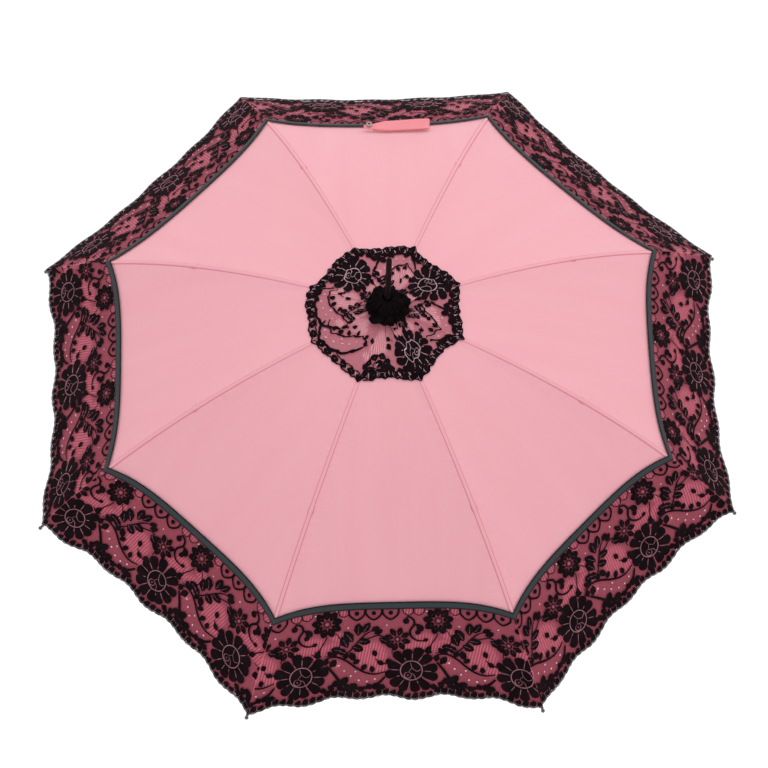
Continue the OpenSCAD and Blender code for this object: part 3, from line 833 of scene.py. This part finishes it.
def makeBorder(gore):
    body = f"gore_outer_{gore}"
    top = goreHalfWidth(canopy["ribbonAt"]) / mm
    low = goreHalfWidth(canopy["hemAt"]) / mm
    lean = (low - top) / laceHeight
    start = patternStart(gore)
    columns, rows = 147, 27
    points, uvs = [], []
    for i in range(columns):
        share = -1 + 2 * i / (columns - 1)
        for j in range(rows):
            t = j / (rows - 1)
            a = share * low
            b = -hemEdge(a - start) * (1 - t) ** 2 + laceHeight * t
            a = share * (low - lean * b)
            points.append(bandToCloth(gore, a, b, -0.4))
            uvs.append(((a - start) / laceRepeat + 0.5, b / laceHeight))
    net = meshPiece(f"lace_net_{gore}", points, gridFaces(columns, rows, flip=True), [netCloth], uvs)
    foldWith(net, body)
    lace = Lace()
    cell = -2
    # a flower up to 80 mm past the gore's edge still has leaves on the gore
    while start + cell * laceRepeat < low + 80:
        laceCell(lace, start + cell * laceRepeat, gore * 10 + cell)
        cell += 1
    for depth in (-0.5, 1.6):
        edge = [(a, depth - hemEdge(a - start)) for a in range(-int(low), int(low) + 1, 2)]
        lace.stroke(edge, 0.9, taper=1.0, rise=1.1, mark=edgeMark)
    cuts = [(1, lean, low), (-1, lean, low)]
    points, faces, marks = facesToMesh(lace, lambda a, b, h: bandToCloth(gore, a, b, h), cuts)
    work = meshPiece(f"lace_work_{gore}", points, faces, [laceThread, silverThread, lightThread, edgeThread],
                     marks=marks)
    foldWith(work, body)


ribbon = {
    "width": 10.0,
    "over": 0.0022,     # above the satin at the ribbon's edges
    "crown": 0.0007,    # how much more in its middle
}


def makeRibbon(gore):
    columns, rows = 61, 7
    points, uvs = [], []
    for i in range(columns):
        u = -1 + 2 * i / (columns - 1)
        for j in range(rows):
            v = j / (rows - 1)
            s = ribbonLine(u) + (v - 0.5) * ribbon["width"] * mm
            rise = ribbon["over"] + ribbon["crown"] * math.sin(math.pi * v) ** 0.5
            points.append(clothPoint(gore, s, u, rise))
            uvs.append((u * goreHalfWidth(s) * 10, v))
    piece = meshPiece(f"ribbon_{gore}", points, gridFaces(columns, rows), [ribbonCloth], uvs)
    foldWith(piece, f"gore_outer_{gore}")


# lace cap

cap = {
    "repeatTurn": 95.0,
    "flowerTurns": (130.0, 34.0, -62.0),
    "bareTurn": -152.0,
    "scale": 0.86,
    # how far the edge reaches at mid gore, and at the rib after it, on gores 1 to 8, in mm
    "middles": (83.0, 86.0, 87.0, 95.0, 91.0, 86.0, 82.5, 86.0),
    "corners": (86.0, 85.0, 92.0, 92.0, 91.5, 86.0, 88.5, 85.0),
    "notch": 2.4,
    "plainCorner": ((2, True), (3, False)),     # the one corner without a notch, as gore and side
    "start": 0.004,         # arc length where the cap comes out from under the rosette
    "areaShare": 0.6,       # flat area over width times length: a triangle's half, and some gathering
    "tall": 98,             # mm of the pattern that are kept above the cap's edge
    "reach": 170,           # mm from mid gore past which a repeat can't touch the gore
    "edgeHalf": 60,         # mm of beaded edge either side of mid gore
}


def capEdge(gore, u):
    corner = cap["corners"][gore - 1] if u > 0 else cap["corners"][gore - 2]
    middle = cap["middles"][gore - 1]
    reach = middle + (corner - middle) * abs(u) ** 4
    if (gore, u > 0) not in cap["plainCorner"]:
        reach -= cap["notch"] * math.exp(-((abs(u) - 0.84) / 0.09) ** 2)
    ripple = 1.1 * math.sin(u * 15 + gore * 1.7) + 0.6 * math.sin(u * 31 + gore)
    return (reach + ripple * (1 - u * u)) * mm


def makeCap():
    for gore in range(1, canopy["gores"] + 1):
        middle = 360.0 / canopy["gores"] * gore
        columns, rows = 25, 15
        points, uvs = [], []
        for i in range(columns):
            u = -1 + 2 * i / (columns - 1)
            for j in range(rows):
                edge = capEdge(gore, u)
                s = cap["start"] + (edge - cap["start"]) * j / (rows - 1)
                points.append(clothPoint(gore, s, u, 0.001))
                turn = middle + math.degrees(math.atan(u * math.tan(halfGore)))
                across = 0.5 - (turn - cap["flowerTurns"][1]) / cap["repeatTurn"]
                uvs.append((across, (edge - s) / mm / laceHeight / cap["scale"]))
        net = meshPiece(f"cap_net_{gore}", points, gridFaces(columns, rows), [capNet], uvs)
        foldWith(net, f"gore_inner_{gore}")
        lace = Lace()
        for turn in cap["flowerTurns"] + (cap["bareTurn"],):
            for lap in (-360, 0, 360):
                off = (turn + lap - middle) / cap["repeatTurn"] * laceRepeat
                if abs(off) < cap["reach"] and turn != cap["bareTurn"]:
                    laceCell(lace, -off, int(turn))
                elif abs(off) < cap["reach"]:
                    crescent(lace, -off + 62)
                    smallFlower(lace, -off - 74, 22, 7, 7.5, 19, 11)
        # beaded edge: a row of dark rounds between two cords, with light stitches
        far = cap["edgeHalf"]
        along = range(-far, far + 1, 3)
        lace.stroke([(a, 1.0) for a in along], 2.4, taper=1.0, rise=0.9)
        lace.stroke([(a, 11.5 + 1.2 * math.sin(0.31 * a)) for a in along], 1.8, taper=1.0, rise=0.8)
        for k in range(11):
            a = -far + 12 * k + gore * 3 % 12
            lace.petal(a - 5.4, 6.2, 0.2 * math.sin(2.1 * k), 10.8, 8.6, tip=0.5, sides=10)
            lace.disc(a, 6.4, 0.9, rise=1.1, sides=6, mark=lightMark)
            lace.stroke([(a + 5.2, 3.4), (a + 6.4, 6.2), (a + 6.6, 9)], 1.0, rise=0.9, mark=lightMark)

        def toCap(a, b, h):
            turn = middle - a / laceRepeat * cap["repeatTurn"]
            off = math.radians(turn - middle)
            u = max(-1, min(1, math.tan(off) / math.tan(halfGore)))
            s = capEdge(gore, u) - b * mm * cap["scale"]
            return clothPoint(gore, max(0.003, s), u, (1.4 + h) * mm)

        half = 180.0 / canopy["gores"] / cap["repeatTurn"] * laceRepeat
        cuts = [(1, 0, half), (-1, 0, half), (0, 1, cap["tall"])]
        points, faces, marks = facesToMesh(lace, toCap, cuts)
        work = meshPiece(f"cap_work_{gore}", points, [f[::-1] for f in faces],
                         [laceThread, silverThread, paleThread], marks=marks)
        foldWith(work, f"gore_inner_{gore}")
    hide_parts("lace_cap")


# rosette

rosette = {
    "columns": 240,
    "spread": 0.93,
    "crumple": 0.17,
    "seed": 4,
    "gap": 0.0004,          # least space to the ferrule, and to the underside of the rosette's room
    "foot": 0.0008,
    "flatWidth": 0.05,
}


def makeRosette():
    low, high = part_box("rosette")
    draw = random.Random(rosette["seed"])
    phase = [draw.uniform(0, 2 * math.pi) for _ in range(12)]
    ferruleLow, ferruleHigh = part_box("ferrule")
    ferruleRadius = (ferruleHigh[0] - ferruleLow[0]) / 2
    # share of the radius and of the height: a wide lower ruffle, a tuck, and a smaller puff round the ferrule
    outline = ((0.70, 0.02), (0.90, 0.03), (1.0, 0.13), (0.99, 0.27), (0.86, 0.40), (0.70, 0.47), (0.66, 0.52),
               (0.72, 0.62), (0.70, 0.76), (0.56, 0.90), (0.38, 0.98), (0.27, 1.06), (0.225, 1.22))
    points, uvs = [], []
    outer = (high[0] - low[0]) / 2 * rosette["spread"]
    tall = high[2] - low[2]
    fine = curveThrough(outline, 5)
    rows = len(fine)
    columns = rosette["columns"]
    for i in range(columns):
        turn = 2 * math.pi * i / columns
        for j, (share, rise) in enumerate(fine):
            t = j / (rows - 1)
            free = 1 - smooth(0.74, 0.97, t)
            lump = 0.5 * math.sin(3 * turn + phase[0] + 2 * t) + 0.35 * math.sin(5 * turn + phase[1] - 5 * t)
            fold = math.sin(9 * turn + phase[2] + 2.2 * math.sin(2 * turn + phase[3]) + 4 * t)
            crease = 1 - abs(math.sin(6.5 * turn + phase[4] + 1.6 * math.sin(3 * turn + phase[5]) - 3 * t))
            ripple = math.sin(23 * turn + phase[6] + 3 * math.sin(4 * turn + phase[7]) + 9 * t)
            crush = rosette["crumple"] * (0.55 * lump + 0.28 * fold - 1.1 * crease ** 3 + 0.10 * ripple)
            radius = max(outer * share * (1 + crush * free - 0.05 * free), ferruleRadius + rosette["gap"])
            lift = tall * rise + free * (0.0022 * math.sin(4 * turn + phase[8] + 6 * t)
                                         + 0.0014 * math.sin(11 * turn + phase[9] - 4 * t))
            points.append((radius * math.cos(turn), radius * math.sin(turn), low[2] + max(rosette["foot"], lift)))
            uvs.append((turn * 3, t * 6))
    faces = []
    for i in range(columns):
        for j in range(rows - 1):
            k = (i + 1) % columns
            faces.append((i * rows + j, k * rows + j, k * rows + j + 1, i * rows + j + 1))
    piece = meshPiece("rosette_gathered", points, faces, [rosetteCloth], uvs)
    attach(piece, "stick")
    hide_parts("rosette")


# tie strap

strap = {
    "gore": 2,
    "length": 88.0,
    "width": 17.5,
    "narrow": 7.5,
    "shift": -24.0,         # along the ribbon from mid gore
    "at": 0.370,
    "tilt": 28.0,           # degrees
    "thick": 0.0007,
    "rise": 0.8,            # mm out of the cloth
    "sagShare": 0.6,        # share of the cloth's sag that the strap bridges
}


# x down the gore, y along the ribbon and z out of the strap's flat side, in mm, from the strap's middle
def strapPoint(x, y, z):
    tilt = math.radians(strap["tilt"])
    out = strap["rise"] + strap["width"] / 2 * math.sin(tilt) + x * math.sin(tilt) + z * math.cos(tilt)
    s = strap["at"] + (x * math.cos(tilt) - z * math.sin(tilt)) * mm
    u = (y + strap["shift"]) * mm / goreHalfWidth(s)
    return clothPoint(strap["gore"], s, u, out * mm + strap["sagShare"] * canopy["sag"])


def makeStrap():
    half = strap["length"] / 2
    # along the strap and out from it: from the sewn end, back along the lower layer, round the fold, and up again
    path = ((half - 12, 0.1), (half - 26, 0.2), (0, 0.1), (-half + 14, 0.3), (-half + 4, 0.5), (-half + 0.6, 1.4),
            (-half + 4, 2.5), (-half + 16, 2.6), (-half + 30, 2.0), (0, 1.3), (half - 22, 1.1), (half - 8, 1.2),
            (half - 1, 1.1))
    fine = curveThrough(path, 6)
    across = 13
    points, uvs = [], []
    for i in range(across):
        v = -1 + 2 * i / (across - 1)
        for k, (y, z) in enumerate(fine):
            t = k / (len(fine) - 1)
            share = smooth(half - 4, half - 34, y)
            width = strap["narrow"] + (strap["width"] - strap["narrow"]) * share
            layer = 1 if t > 0.45 else 0
            x = v * width / 2 - (strap["width"] - width) * 0.32 + layer * (0.9 - 1.4 * share)
            fold = 0.55 * math.sin(2.2 * v + 0.06 * y + layer * 1.3) * share * layer
            crease = -0.5 * math.exp(-((v - 0.15 + 0.006 * y) / 0.16) ** 2) * layer * share
            points.append(strapPoint(x, y, z + fold + crease + 0.3 * (1 - v * v)))
            uvs.append((v * 0.08, t * 2))
    piece = meshPiece("tie_strap", points, gridFaces(across, len(fine)), [strapCloth], uvs)
    thicken = piece.modifiers.new("thicken", "SOLIDIFY")
    thicken.thickness = strap["thick"]
    thicken.offset = 0
    bpy.context.view_layer.objects.active = piece
    bpy.ops.object.modifier_apply(modifier="thicken")
    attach(piece, "tie_strap")
    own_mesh(piece)
    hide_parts("strap")


# finish of the CAD pieces

def paintNode(name, paint):
    data = frame["nodes"][name].data
    data.materials.clear()
    data.materials.append(paint)


def paintFrame():
    for rib in range(1, canopy["gores"] + 1):
        for part in ("rib_inner", "rib_outer", "stretcher"):
            paintNode(f"{part}_{rib}", ribSteel)
    for name in ("shaft_tube", "crown_wire", "crown_pin", "stop_pin", "catch_pins", "top_catch", "bottom_catch",
                 "runner_wire", "handle_collar", "crook_cap"):
        paintNode(name, brightSteel)
    paintNode("strap_snap", snapNickel)
    for name in ("ferrule", "handle"):
        paintNode(name, blackLacquer)
    for name in ("crown", "runner", "canopy_washer"):
        paintNode(name, blackNylon)


satin = satinMaterial("pinkSatin", (0.90, 0.43, 0.485), (0.885, 0.405, 0.46))
# seam satin: its second colour is painted shade in the creases beside the ridge
seamSatin = seamMaterial("seamSatin", (0.88, 0.41, 0.465), (0.70, 0.225, 0.285))
seamTape = threadMaterial("seamTape", (0.13, 0.028, 0.045), 0.85)
# deeper pink satin under the lace border: painted shade of the net lying over it
laceShadeSatin = satinMaterial("satinUnderLacePaintedShade", (0.78, 0.17, 0.24), (0.74, 0.15, 0.22))
strapCloth = satinMaterial("strapSatin", (0.90, 0.30, 0.33), (0.84, 0.26, 0.30))
ribbonCloth = ribbonMaterial("greyRibbon", (0.036, 0.046, 0.050), (0.008, 0.005, 0.006))
laceThread = threadMaterial("blackThread", (0.0060, 0.0022, 0.0035), 0.85, 0.06)
silverThread = threadMaterial("silverThread", (0.58, 0.42, 0.47), 0.7)
rosetteCloth = threadMaterial("rosetteLace", (0.0040, 0.0024, 0.0028), 0.8, 0.02)
netCloth = netMaterial("blackNet", (0.085, 0.010, 0.022), 0.4, 0.17)
capNet = netMaterial("capNet", (0.34, 0.045, 0.085), 0.42, 0.16)
edgeThread = threadMaterial("edgeThread", (0.20, 0.17, 0.19), 0.7)
paleThread = threadMaterial("paleThread", (0.50, 0.33, 0.37), 0.8)
lightThread = threadMaterial("lightThread", (0.30, 0.13, 0.16), 0.8)
ribSteel = metalMaterial("darkRibSteel", (0.13, 0.13, 0.14), 0.42)
snapNickel = metalMaterial("nickelledSnap", (0.30, 0.27, 0.26), 0.55)
brightSteel = metalMaterial("brightSteel", (0.62, 0.63, 0.65), 0.26)
blackLacquer = lacquerMaterial("blackLacquer", (0.006, 0.003, 0.004), 0.45, 0.04)
blackNylon = lacquerMaterial("blackNylon", (0.02, 0.02, 0.022), 0.55, 0.0)

capRing = ribLine(canopy["capAt"])[1] + canopy["lift"]
makeCamera(capRing)
makeStage(cadBox[0][2])
print("stage ready")
makePinkPanels()
makeSeams()
print("satin ready")
for goreNumber in range(1, canopy["gores"] + 1):
    makeBorder(goreNumber)
    makeRibbon(goreNumber)
print("lace border ready")
makeCap()
makeRosette()
makeStrap()
paintFrame()
print("cap, rosette, strap and frame ready")
